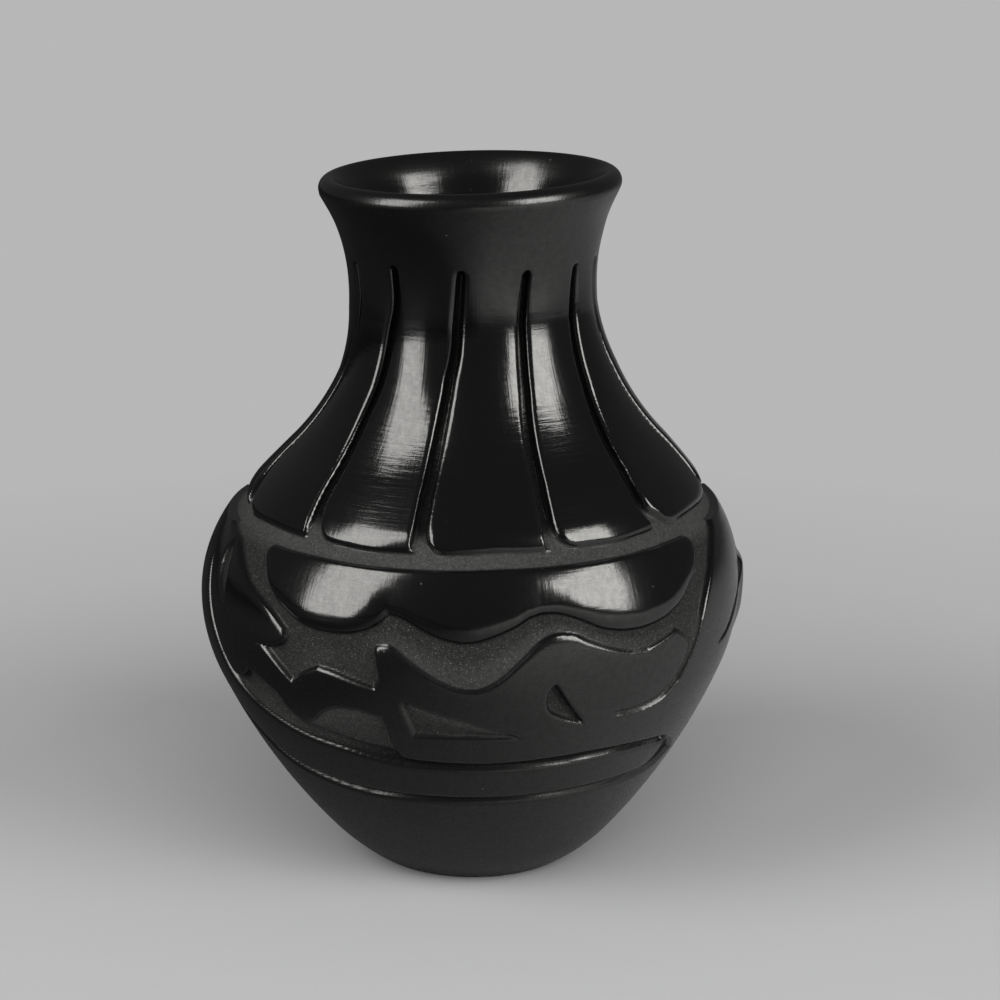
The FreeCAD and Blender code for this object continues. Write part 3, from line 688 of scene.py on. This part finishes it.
def course_profile(relief, name):
    """One course's section as (radius, height, row), or INSIDE or ON_LIP for want of a row.

    It starts on the outer wall's lowest point and goes up, over the top and down the inside."""
    start, stop = relief.bands[name]
    points = [(relief.radii[row], relief.heights[row], row) for row in range(start, stop)]
    inner_radii, inner_heights = inner_line()
    low, high = (share * HEIGHT for share in COURSES[name][:2])
    if name == "rim_coil":
        middle, top = STATIONS[-1][0] - LIP_RADIUS, STATIONS[-1][1] + LIP_RADIUS
        inward = middle - np.interp(LIP_INSIDE, inner_heights, inner_radii)
        turn = math.radians(LIP_END) - OUTLINE.lip_turn
        for step in range(1, LIP_STEPS):
            angle = OUTLINE.lip_turn + turn * step / LIP_STEPS
            if angle < math.pi / 2:
                radius = middle + LIP_RADIUS * math.cos(angle)
                height = top + LIP_RADIUS * (math.sin(angle) - 1)
            else:
                radius = middle - inward * abs(math.cos(angle)) ** LIP_INSIDE_POWER
                height = LIP_INSIDE + (top - LIP_INSIDE) * math.sin(angle) ** LIP_INSIDE_POWER
            points.append((radius, height, ON_LIP))
        high = LIP_INSIDE
    low_inside = max(low, FLOOR_HEIGHT)
    step = MOUTH_STEP if name in ("rim_coil", "neck_coil") else INNER_STEP
    count = max(2, int(math.ceil((high - low_inside) / step)))
    for height in np.linspace(high, low_inside, count + 1):
        points.append((np.interp(height, inner_heights, inner_radii), height, INSIDE))
    if name == "base_slab":
        points += [(FLOOR_RADIUS * share, FLOOR_HEIGHT, INSIDE) for share in FLOOR_RINGS]
        points += [(STATIONS[0][0] * share, 0.0, INSIDE) for share in FOOT_RINGS]
    return points


def clean_start():
    """Leaves edit mode and deselects everything, so that an operator acts only on its piece."""
    if bpy.context.object and bpy.context.object.mode != "OBJECT":
        bpy.ops.object.mode_set(mode="OBJECT")
    bpy.ops.object.select_all(action="DESELECT")


def spun_course(name, points):
    """The course's section swept once round the jar's axis, as a closed skin."""
    clean_start()
    mesh = bpy.data.meshes.new(name)
    corners = [(0.0, -radius * MM, height * MM) for radius, height, _ in points]
    on_axis = [index for index, point in enumerate(points) if point[0] == 0.0]
    edges = [(index, (index + 1) % len(corners)) for index in range(len(corners))]
    if on_axis:
        edges.remove(tuple(on_axis))
    mesh.from_pydata(corners, edges, [])
    piece = bpy.data.objects.new(name, mesh)
    bpy.context.scene.collection.objects.link(piece)
    bpy.context.view_layer.objects.active = piece
    piece.select_set(True)
    bpy.ops.object.modifier_add(type="SCREW")
    sweep = piece.modifiers[-1]
    sweep.axis = "Z"
    sweep.angle = math.tau
    sweep.steps = COLUMNS
    sweep.render_steps = COLUMNS
    sweep.use_merge_vertices = True
    sweep.merge_threshold = MERGE
    bpy.ops.object.modifier_apply(modifier=sweep.name)
    bpy.ops.object.mode_set(mode="EDIT")
    bpy.ops.mesh.select_all(action="SELECT")
    bpy.ops.mesh.remove_doubles(threshold=MERGE)
    bpy.ops.mesh.normals_make_consistent(inside=False)
    bpy.ops.object.mode_set(mode="OBJECT")
    return piece


def read(items, name, kind=float, width=1):
    """One value, or a few, of every item of a mesh."""
    values = np.zeros(len(items) * width, kind)
    items.foreach_get(name, values)
    return values


def press_relief(piece, relief, points):
    """Moves the spun wall onto the carved one and stores the masks that the finish reads."""
    mesh = piece.data
    count = len(mesh.vertices)
    places = read(mesh.vertices, "co", width=3).reshape(-1, 3) / MM
    radius = np.hypot(places[:, 0], places[:, 1])
    azimuth = np.degrees(np.arctan2(places[:, 0], -places[:, 1]))
    section = np.array([point[:2] for point in points])
    rows = np.array([point[2] for point in points])
    nearest = np.empty(count, int)
    for start in range(0, count, BLOCK):
        block = slice(start, start + BLOCK)
        sideways = radius[block, None] - section[None, :, 0]
        upward = places[block, 2, None] - section[None, :, 1]
        nearest[block] = (sideways ** 2 + upward ** 2).argmin(axis=1)
    row = rows[nearest]
    column = np.round((azimuth + 180.0) / 360.0 * COLUMNS).astype(int) % COLUMNS
    outer = row >= 0
    moved = relief.leaning(radius, places[:, 2], np.radians(azimuth))
    moved[outer] = relief.wall[row[outer], column[outer]]
    mesh.vertices.foreach_set("co", moved.astype(np.float32).ravel())
    ground = np.zeros(count)
    ground[outer] = relief.ground[row[outer], column[outer]]
    inside = row == INSIDE
    below = HEIGHT - INSIDE_BELOW_TOP - places[inside, 2]
    ground[inside] = INSIDE_MATTE * shelf(below / INSIDE_FADE)
    satin = np.zeros(count)
    satin[outer] = shelf((SATIN_TOP - relief.heights[row[outer]]) / SATIN_FADE)
    deep = np.zeros(count)
    deep[outer] = relief.cut[row[outer], column[outer]] / (relief.shape.carve_depth / MM)
    for layer, values in (("ground", ground), ("satin", satin), ("deep", deep)):
        stored = mesh.attributes.new(layer, "FLOAT", "POINT")
        stored.data.foreach_set("value", values.astype(np.float32))
    mesh.update()
    match_normals(mesh, relief, row, column)


def match_normals(mesh, relief, row, column):
    """Gives the outer wall the normals of the whole jar, so that no seam shows between courses."""
    loops = read(mesh.loops, "vertex_index", int)
    starts = read(mesh.polygons, "loop_start", int)
    totals = read(mesh.polygons, "loop_total", int)
    face_of = np.repeat(np.arange(len(starts)), totals)
    outer = row[loops] >= 0
    all_outer = np.minimum.reduceat(outer.astype(int), starts)[face_of].astype(bool)
    mesh.polygons.foreach_set("use_smooth", np.ones(len(starts), bool))
    mesh.update()
    bpy.context.view_layer.objects.active.select_set(True)
    bpy.ops.object.shade_smooth_by_angle(angle=math.radians(SMOOTH_ANGLE))
    smooth = read(mesh.corner_normals, "vector", width=3).reshape(-1, 3)
    smooth[all_outer] = relief.slopes[row[loops][all_outer], column[loops][all_outer]]
    mesh.normals_split_custom_set(smooth.tolist())


class Wire:
    """A socket of a node tree on which Python's operators build Math nodes."""

    def __init__(self, tree, socket):
        self.tree = tree
        self.socket = socket

    def maths(self, operation, first, second):
        """Adds a Math node on two values, each a wire or a number."""
        node = self.tree.nodes.new("ShaderNodeMath")
        node.operation = operation
        for index, value in enumerate((first, second)):
            if isinstance(value, Wire):
                self.tree.links.new(value.socket, node.inputs[index])
            else:
                node.inputs[index].default_value = value
        return Wire(self.tree, node.outputs[0])

    def __add__(self, other):
        return self.maths("ADD", self, other)

    __radd__ = __add__

    def __sub__(self, other):
        return self.maths("SUBTRACT", self, other)

    def __rsub__(self, other):
        return self.maths("SUBTRACT", other, self)

    def __mul__(self, other):
        return self.maths("MULTIPLY", self, other)

    __rmul__ = __mul__

    def turn(self, other):
        """Angle of the point whose two flat coordinates these are, in radians."""
        return self.maths("ARCTAN2", self, other)


# Outputs of Texture Coordinate and Light Path.
OBJECT_PLACE = 3
CAMERA_RAY = 0
GLOSSY_RAY = 3


class Finish:
    """The nodes of a material, or of the air, under construction."""

    def __init__(self, owner):
        owner.use_nodes = True
        self.owner = owner
        self.tree = owner.node_tree
        self.tree.nodes.clear()

    def node(self, kind, settings=None, values=None, out=0):
        """Adds a node. Settings are set first, then the values or links of its sockets."""
        node = self.tree.nodes.new(kind)
        for key, value in (settings or {}).items():
            if key == "stops":
                self.stops(node, value)
            else:
                setattr(node, key, value)
        for key, value in (values or {}).items():
            socket = node.inputs[key]
            if isinstance(value, Wire):
                self.tree.links.new(value.socket, socket)
            else:
                socket.default_value = value
        return Wire(self.tree, node.outputs[out])

    def place(self):
        """The place on the piece, in metres."""
        return self.node("ShaderNodeTexCoord", out=OBJECT_PLACE)

    def ray(self, kind):
        """1 for rays of one kind and 0 for all others."""
        return self.node("ShaderNodeLightPath", out=kind)

    def axis(self, place, index):
        """One coordinate of a place."""
        return self.node("ShaderNodeSeparateXYZ", {}, {0: place}, index)

    def stops(self, node, stops):
        """Sets a colour ramp's stops, each a place and a shade of grey."""
        ramp = node.color_ramp.elements
        while len(ramp) < len(stops):
            ramp.new(0.5)
        for element, (place, shade) in zip(ramp, stops):
            element.position = place
            element.color = (shade, shade, shade, 1.0)

    def ramp(self, value, *stops):
        return self.node("ShaderNodeValToRGB", {"stops": stops}, {"Fac": value})

    def mask(self, name):
        """A mask that press_relief stored."""
        return self.node("ShaderNodeAttribute", {"attribute_name": name}, out=2)

    def noise(self, place, scale, detail=2.0, roughness=0.5, out=0):
        values = {"Vector": place, "Scale": scale, "Detail": detail, "Roughness": roughness}
        return self.node("ShaderNodeTexNoise", {}, values, out)

    def blend(self, share, first, second):
        """Colour between two colours."""
        values = {0: share, 6: first, 7: second}
        return self.node("ShaderNodeMix", {"data_type": "RGBA"}, values, 2)

    def bump(self, height, distance, strength=1.0, normal=None):
        values = {"Height": height, "Distance": distance, "Strength": strength}
        if normal is not None:
            values["Normal"] = normal
        return self.node("ShaderNodeBump", {}, values)

    def coat(self, base, rough, normal, index):
        """One plain surface of a refractive index."""
        values = {
            "Base Color": base, "Roughness": rough, "Normal": normal, "IOR": index,
            "Specular Tint": WARM,
        }
        return self.node("ShaderNodeBsdfPrincipled", {}, values)

    def mix(self, share, under, over):
        """Surface between two surfaces."""
        return self.node("ShaderNodeMixShader", {}, {0: share, 1: under, 2: over})

    def finish(self, surface, kind="ShaderNodeOutputMaterial"):
        """Links the surface to the tree's output."""
        output = self.tree.nodes.new(kind)
        self.tree.links.new(surface.socket, output.inputs["Surface"])
        return self.owner


WARM = (1.0, 0.99, 0.955, 1.0)
DUST = (0.16, 0.155, 0.15, 1.0)
PALE_GRAIN = (0.17, 0.167, 0.159, 1.0)
# A near-black dull coat, painted as shade in the low grooves and the slots.
SHADE_BLACK = (0.004, 0.004, 0.004, 1.0)
# Refractive index of each state of the clay, and of the near-black coat of painted shade.
RUBBED_INDEX = 1.7
WORN_INDEX = 1.48
MATTE_INDEX = 1.25
SHADE_BLACK_INDEX = 1.05
# How far the wall is unrolled round the axis, in millimetres a radian.
UNROLL_RADIUS = 60.0


def colour(values):
    return (*values, 1.0)


def fired_clay(settings):
    """Black slip rubbed with a stone, satin below the belly and matte where it is carved."""
    kit = Finish(bpy.data.materials.new("burnished_clay"))
    place = kit.place()
    x, y, z = (kit.axis(place, index) for index in range(3))
    ground, deep, satin = (kit.mask(name) for name in ("ground", "deep", "satin"))
    # Height in quarters of a metre, as the ramps go from 0 to 1.
    rise = z * 4.0
    # The unrolled wall: millimetres round the jar and height in millimetres, then stretched along
    # the level strokes, the upright strokes and the scratches.
    unrolled = kit.node("ShaderNodeCombineXYZ", {}, {
        0: x.turn(0 - y) * UNROLL_RADIUS, 1: z * 1000.0, 2: 0.0})
    level, upright, scratched = (
        kit.node("ShaderNodeMapping", {}, {"Vector": unrolled, "Scale": (across, up, 1.0)})
        for across, up in ((0.05, 1.0), (1.0, 0.06), (2.6, 0.22)))

    level_streaks = kit.noise(level, 0.9, 3.0, 0.6)
    fine_streaks = kit.noise(level, 3.4, 2.0, 0.6)
    upright_streaks = kit.noise(upright, 0.8, 3.0, 0.55)
    clouds = kit.noise(place, 34.0, 3.0, 0.55)
    grains = kit.noise(place, 2600.0, 2.0, 0.6)
    coarse_grains = kit.noise(place, 900.0, 2.0, 0.6)
    mottle = kit.noise(place, 520.0, 4.0, 0.7)
    scratches = kit.noise(scratched, 1.0, 3.0, 0.6)
    # A few cells of a fine pattern each hold one grain of dust in their middle.
    middle, pick = (
        kit.node("ShaderNodeTexVoronoi", {"feature": "F1"}, {"Vector": place, "Scale": 300.0}, out)
        for out in (0, 1))
    chance = kit.node("ShaderNodeSeparateColor", {}, {0: pick})
    dust = kit.ramp(chance, (0.0, 0.0), (0.965, 0.0), (0.975, 1.0))
    dust = dust * kit.ramp(middle, (0.0, 1.0), (0.05, 0.9), (0.1, 0.0))
    speck = kit.ramp(grains, (0.0, 0.0), (0.6, 0.0), (0.72, 1.0))

    slip = kit.blend(satin, colour(settings.slip_colour), colour(settings.satin_colour))
    slip = kit.blend(dust * 0.4, slip, DUST)
    shade = coarse_grains * 0.4 + grains * 0.3 + clouds * 0.3
    shade = kit.ramp(shade, (0.32, 0.3), (0.66, 0.9)) * 1.8
    # Painted shade: below the ledge the carved ground darkens with its depth, as under the cloud's
    # lobes.
    below = kit.ramp(rise, (0.41, 1.0), (0.424, 0.0))
    shade = shade * (1 - below * kit.ramp(deep, (0.35, 0.1), (0.85, 0.6)))
    # Painted shade: the narrow grooves low on the jar are darkened inside.
    low = kit.ramp(rise, (0.2, 1.0), (0.222, 0.0))
    # Painted shade darkens the slots too, as the deepest cuts.
    slot = kit.ramp(deep * 0.5, (0.53, 0.0), (0.64, 1.0))
    shade = shade * (1 - 0.7 * low) * (1 - 0.7 * slot)
    carved = kit.node("ShaderNodeVectorMath", {"operation": "SCALE"},
                      {0: settings.ground_colour[:], "Scale": shade})
    carved = kit.blend(speck * 0.5, carved, PALE_GRAIN)

    # The rim and the wall below the belly are less rubbed.
    rubbed = settings.burnish + 0.07 * (level_streaks - 0.5) + 0.05 * (clouds - 0.5)
    rubbed = rubbed + 0.03 * (upright_streaks - 0.5) + satin * 0.09
    rubbed = rubbed + kit.ramp(rise, (0.778, 0.0), (0.792, 1.0)) * 0.12

    # The stone's level strokes show most where the feathers turn out towards the ledge.
    streaked = kit.ramp(rise, (0.44, 0.3), (0.49, 1.0), (0.56, 1.0), (0.62, 0.3)) * 2.6
    facets = kit.bump(level_streaks * streaked, 0.00003, 1.0)
    facets = kit.bump(fine_streaks, 0.000005, 1.0, facets)
    facets = kit.bump(upright_streaks, 0.00003, 1.0, facets)
    facets = kit.bump(clouds, 0.0002, 1.0, facets)
    scuffed = kit.bump(grains * 0.5 + coarse_grains * 0.5, 0.00002, 1.0, facets)
    grit = kit.bump(grains * 0.5 + coarse_grains, 0.00035, 1.0, facets)
    bright = kit.coat(slip, rubbed, scuffed, RUBBED_INDEX)
    dull = kit.coat(slip, rubbed + 0.08, scuffed, WORN_INDEX)
    matte = kit.coat(carved, 0.85, grit, MATTE_INDEX)
    shade_black_coat = kit.coat(SHADE_BLACK, 1.0, grit, SHADE_BLACK_INDEX)
    wear = mottle * 0.45 + fine_streaks * 0.2 + grains * 0.2 + scratches * 0.15
    polished = kit.mix(kit.ramp(wear, (0.4, 0.0), (0.62, 0.65)), bright, dull)
    # Painted shade: the low grooves and the slots turn partly to the near-black dull coat.
    carved_ground_with_shade = kit.mix(low * 0.75 + slot * 0.7, matte, shade_black_coat)
    return kit.finish(kit.mix(ground, polished, carved_ground_with_shade))


# How much the floor turns to the backdrop's colour, by distance from the jar's axis in metres.
FAR_STOPS = ((0.0, 0.0), (0.16, 0.0), (0.3, 0.7), (0.45, 1.0))
# Painted shade in the jar's reflections: how much of the floor glossy rays see as a dark sheet
# instead, by the place across in metres, plus half a metre.
REFLECTION_SHADE_STOPS = (
    (0.0, 0.86), (0.3, 0.9), (0.38, 0.88), (0.43, 0.76), (0.48, 0.63), (0.53, 0.44), (0.58, 0.15),
    (0.7, 0.0),
)
MIRRORED_AIR = (0.08, 0.08, 0.08)


def floor_finish(settings):
    """Plain paper floor that turns to the backdrop's colour away from the jar."""
    kit = Finish(bpy.data.materials.new("floor_paper"))
    place = kit.place()
    away = kit.node("ShaderNodeVectorMath", {"operation": "LENGTH"}, {0: place}, 1)
    paper = kit.node("ShaderNodeBsdfPrincipled", {}, {
        "Base Color": colour(settings.floor_colour), "Roughness": 0.9, "Specular IOR Level": 0.1,
        "Normal": kit.bump(kit.noise(place, 900.0, 3.0, 0.7), 0.0001, 0.6)})
    glow = kit.node("ShaderNodeEmission", {}, {
        "Color": colour(settings.backdrop_colour), "Strength": 1.0})
    dark = kit.node("ShaderNodeEmission", {}, {"Color": (0.0, 0.0, 0.0, 1.0), "Strength": 0.0})
    seen = kit.mix(kit.ramp(away, *FAR_STOPS) * kit.ray(CAMERA_RAY), paper, glow)
    # Painted shade: glossy rays see the floor as dark, most at the left, so its reflections in the
    # jar dim.
    reflection_shade = kit.ramp(kit.axis(place, 0) + 0.5, *REFLECTION_SHADE_STOPS) * kit.ray(GLOSSY_RAY)
    return kit.finish(kit.mix(reflection_shade, seen, dark))


# The carved wall and the clay's finish, which all the courses share.
CACHE = {}


def make_courses(context, *names):
    """Models and finishes courses of the wall and hides the CAD nodes that they stand for."""
    if not CACHE:
        CACHE["relief"] = Relief(context.scene.jar_shape)
        CACHE["clay"] = fired_clay(context.scene.jar_finish)
    for name in names:
        points = course_profile(CACHE["relief"], name)
        piece = spun_course(name + "_clay", points)
        press_relief(piece, CACHE["relief"], points)
        piece.data.materials.append(CACHE["clay"])
        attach(piece, "root")
        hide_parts(name)
    return {"FINISHED"}


class POTTERY_OT_base_slab(bpy.types.Operator):
    """Turns the flat floor of the jar and the heel that stands on it"""
    bl_idname = "pottery.base_slab"
    bl_label = "Base slab"

    def execute(self, context):
        return make_courses(context, "base_slab")


class POTTERY_OT_lower_courses(bpy.types.Operator):
    """Builds the two courses of the lower wall, with the bands carved round them"""
    bl_idname = "pottery.lower_courses"
    bl_label = "Lower wall"

    def execute(self, context):
        return make_courses(context, "lower_wall_coil", "haunch_coil")


class POTTERY_OT_belly_course(bpy.types.Operator):
    """Builds the widest course, with the carved cloud"""
    bl_idname = "pottery.belly_course"
    bl_label = "Belly"

    def execute(self, context):
        return make_courses(context, "belly_coil")


class POTTERY_OT_shoulder_courses(bpy.types.Operator):
    """Builds the two courses of the shoulder, with the ledge and the feathers"""
    bl_idname = "pottery.shoulder_courses"
    bl_label = "Shoulder"

    def execute(self, context):
        return make_courses(context, "shoulder_coil", "upper_shoulder_coil")


class POTTERY_OT_neck_courses(bpy.types.Operator):
    """Builds the neck and the rounded rim"""
    bl_idname = "pottery.neck_courses"
    bl_label = "Neck and rim"

    def execute(self, context):
        return make_courses(context, "neck_coil", "rim_coil")


# Camera: distance in front of the axis and height in metres, tilt, lens and frame shift.
CAMERA_PLACE = (0.0, -0.7886, 0.3251)
CAMERA_TILT = 15.83
LENS = 100.62
SENSOR = 36.0
SHIFT_X = 0.029
SHIFT_Y = 0.0157
CLIP_END = 50.0

FLOOR_SIDES = 128
FLOOR_REACH = 9.0

# Soft lamps: azimuth and elevation from the belly, distance, width, height, share of the power
# and whether the polished clay mirrors it.
LAMPS = (
    (-59.0, 26.7, 1.1, 0.569, 1.035, 1.07, True),
    (53.0, 22.3, 1.1, 0.6, 0.7, 1.34, True),
    (8.0, 40.0, 1.3, 0.9, 0.9, 0.65, False),
)
LAMP_AIM = (0.0, 0.0, 0.11)


class POTTERY_OT_studio(bpy.types.Operator):
    """Lays the plain floor, hangs two soft lamps and sets the camera"""
    bl_idname = "pottery.studio"
    bl_label = "Studio"

    def execute(self, context):
        settings = context.scene.jar_studio
        self.floor(settings)
        self.lamps(settings)
        self.air(context, settings)
        self.camera(context)
        return {"FINISHED"}

    def floor(self, settings):
        clean_start()
        bpy.ops.mesh.primitive_circle_add(
            vertices=FLOOR_SIDES, radius=FLOOR_REACH, fill_type="NGON", location=(0, 0, 0))
        floor = bpy.context.object
        floor.name = "floor"
        floor.data.materials.append(floor_finish(settings))

    def lamps(self, settings):
        for azimuth, elevation, distance, width, height, share, mirrored in LAMPS:
            side, rise = math.radians(azimuth), math.radians(elevation)
            toward = Vector((
                math.sin(side) * math.cos(rise), -math.cos(side) * math.cos(rise), math.sin(rise)))
            lamp = bpy.data.lights.new("soft_lamp", "AREA")
            lamp.shape = "RECTANGLE"
            lamp.size = width
            lamp.size_y = height
            lamp.energy = settings.lamp_power * width * height * share
            holder = bpy.data.objects.new("soft_lamp", lamp)
            holder.location = Vector(LAMP_AIM) + toward * distance
            holder.rotation_euler = (-toward).to_track_quat("-Z", "Y").to_euler()
            holder.visible_camera = False
            holder.visible_glossy = mirrored
            bpy.context.scene.collection.objects.link(holder)

    def air(self, context, settings):
        """Shows camera rays the backdrop and glossy rays a dim air, and lights the rest."""
        world = bpy.data.worlds.new("studio_air")
        context.scene.world = world
        kit = Finish(world)
        shown, fill, mirrored = (
            kit.node("ShaderNodeBackground", {}, {"Color": colour(values), "Strength": 1.0})
            for values in (settings.backdrop_colour, settings.fill_colour, MIRRORED_AIR))
        lit = kit.mix(kit.ray(GLOSSY_RAY), fill, mirrored)
        kit.finish(kit.mix(kit.ray(CAMERA_RAY), lit, shown), "ShaderNodeOutputWorld")

    def camera(self, context):
        lens = bpy.data.cameras.new("view")
        lens.lens = LENS
        lens.sensor_width = SENSOR
        lens.shift_x = SHIFT_X
        lens.shift_y = SHIFT_Y
        lens.clip_end = CLIP_END
        camera = bpy.data.objects.new("view", lens)
        camera.location = CAMERA_PLACE
        camera.rotation_euler = (math.radians(90 - CAMERA_TILT), 0, 0)
        context.scene.collection.objects.link(camera)
        context.scene.camera = camera
        context.scene.view_settings.view_transform = "Standard"


STEPS = (
    POTTERY_OT_base_slab,
    POTTERY_OT_lower_courses,
    POTTERY_OT_belly_course,
    POTTERY_OT_shoulder_courses,
    POTTERY_OT_neck_courses,
    POTTERY_OT_studio,
)


class POTTERY_PT_panel(bpy.types.Panel):
    """Lists the jar's sizes, finish and steps"""
    bl_label = "Carved pottery jar"
    bl_idname = "POTTERY_PT_panel"
    bl_space_type = "VIEW_3D"
    bl_region_type = "UI"
    bl_category = "Pottery"

    def draw(self, context):
        for group in (context.scene.jar_shape, context.scene.jar_finish, context.scene.jar_studio):
            for name in group.__annotations__:
                self.layout.prop(group, name)
        for step in STEPS:
            self.layout.operator(step.bl_idname)


GROUPS = (("jar_shape", JarShape), ("jar_finish", JarFinish), ("jar_studio", JarStudio))


def register():
    for name, group in GROUPS:
        bpy.utils.register_class(group)
        setattr(bpy.types.Scene, name, bpy.props.PointerProperty(type=group))
    for step in STEPS + (POTTERY_PT_panel,):
        bpy.utils.register_class(step)


def unregister():
    for step in (POTTERY_PT_panel,) + STEPS[::-1]:
        bpy.utils.unregister_class(step)
    for name, group in GROUPS[::-1]:
        delattr(bpy.types.Scene, name)
        bpy.utils.unregister_class(group)


def main():
    register()
    bpy.ops.pottery.base_slab()
    bpy.ops.pottery.lower_courses()
    bpy.ops.pottery.belly_course()
    bpy.ops.pottery.shoulder_courses()
    bpy.ops.pottery.neck_courses()
    bpy.ops.pottery.studio()


if __name__ == "__main__":
    main()
